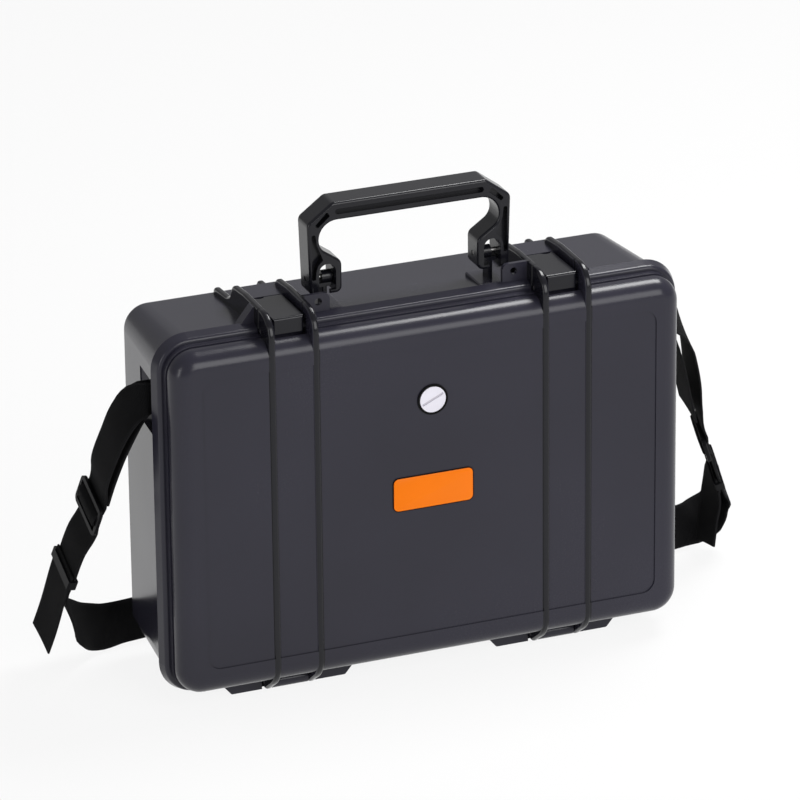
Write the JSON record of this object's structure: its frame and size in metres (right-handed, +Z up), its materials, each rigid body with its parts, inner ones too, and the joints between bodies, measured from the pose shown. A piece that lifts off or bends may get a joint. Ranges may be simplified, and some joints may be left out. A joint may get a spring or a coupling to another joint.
{
  "type": "hard laptop case",
  "caption": "Hard laptop case standing on its feet, with a hinged lid held by toggle latches, foam inside, a folding carrying handle, a pressure valve and a webbing shoulder strap.",
  "frame": {"origin": "on the floor under the case, midway across it and midway between the lid's rib crests and the back of the base", "axes": "+X across the case to the carrier's right, +Y from the lid's face to the back of the base, +Z up"},
  "size_m": [0.5997, 0.1619, 0.3955],
  "materials": {
    "shell": "fine satin texture, charcoal",
    "latch": "satin, charcoal",
    "handle": "satin, charcoal",
    "seal": "soft black cord",
    "foam": "dense foam, soft lid pad and firm tray",
    "valve_plastic": "black housing and nut",
    "valve_disc": "pale grey turning disc",
    "plate": "bright orange front plate",
    "steel": "pins and strap bars",
    "webbing": "black woven strap",
    "buckle": "black strap sliders and keepers"
  },
  "bodies": {
    "base": {"base_shell": "shell", "seal_ring": "seal", "base_foam": "foam", "hinge_pin_left": "steel", "hinge_pin_right": "steel", "handle_bracket_left": "shell", "handle_bracket_right": "shell", "handle_pin_left": "steel", "handle_pin_right": "steel", "strap_bar_left": "steel", "strap_bar_right": "steel", "webbing_left": "webbing", "webbing_right": "webbing", "webbing_rear": "webbing", "webbing_tail_left": "webbing", "webbing_tail_right": "webbing", "slider_left": "buckle", "slider_right": "buckle", "keeper_left": "buckle", "keeper_right": "buckle"},
    "lid": {"lid_shell": "shell", "lid_foam": "foam", "valve_body": "valve_plastic", "valve_nut": "valve_plastic", "front_plate": "plate", "latch_pin_left": "steel", "latch_pin_right": "steel"},
    "latch_left": {"latch_left": "latch"},
    "latch_right": {"latch_right": "latch"},
    "handle": {"handle": "handle"},
    "valve_disc": {"valve_disc": "valve_disc"}
  },
  "joints": [
    {"name": "lid_hinge", "type": "hinge", "parent": "base", "child": "lid", "pos_m": [0, -0.039, 0.0075], "axis": [1, 0, 0], "range_deg": [0, 100]},
    {"name": "latch_left", "type": "hinge", "parent": "lid", "child": "latch_left", "pos_m": [-0.114, -0.0468, 0.3096], "axis": [1, 0, 0], "range_deg": [0, 70]},
    {"name": "latch_right", "type": "hinge", "parent": "lid", "child": "latch_right", "pos_m": [0.114, -0.0468, 0.3096], "axis": [1, 0, 0], "range_deg": [0, 70]},
    {"name": "handle_pivot", "type": "hinge", "parent": "base", "child": "handle", "pos_m": [0, -0.0095, 0.3315], "axis": [-1, 0, 0], "range_deg": [0, 88]},
    {"name": "valve_turn", "type": "hinge", "parent": "lid", "child": "valve_disc", "pos_m": [0, -0.06, 0.2379], "axis": [0, 1, 0], "range_deg": [0, 90]}
  ]
}
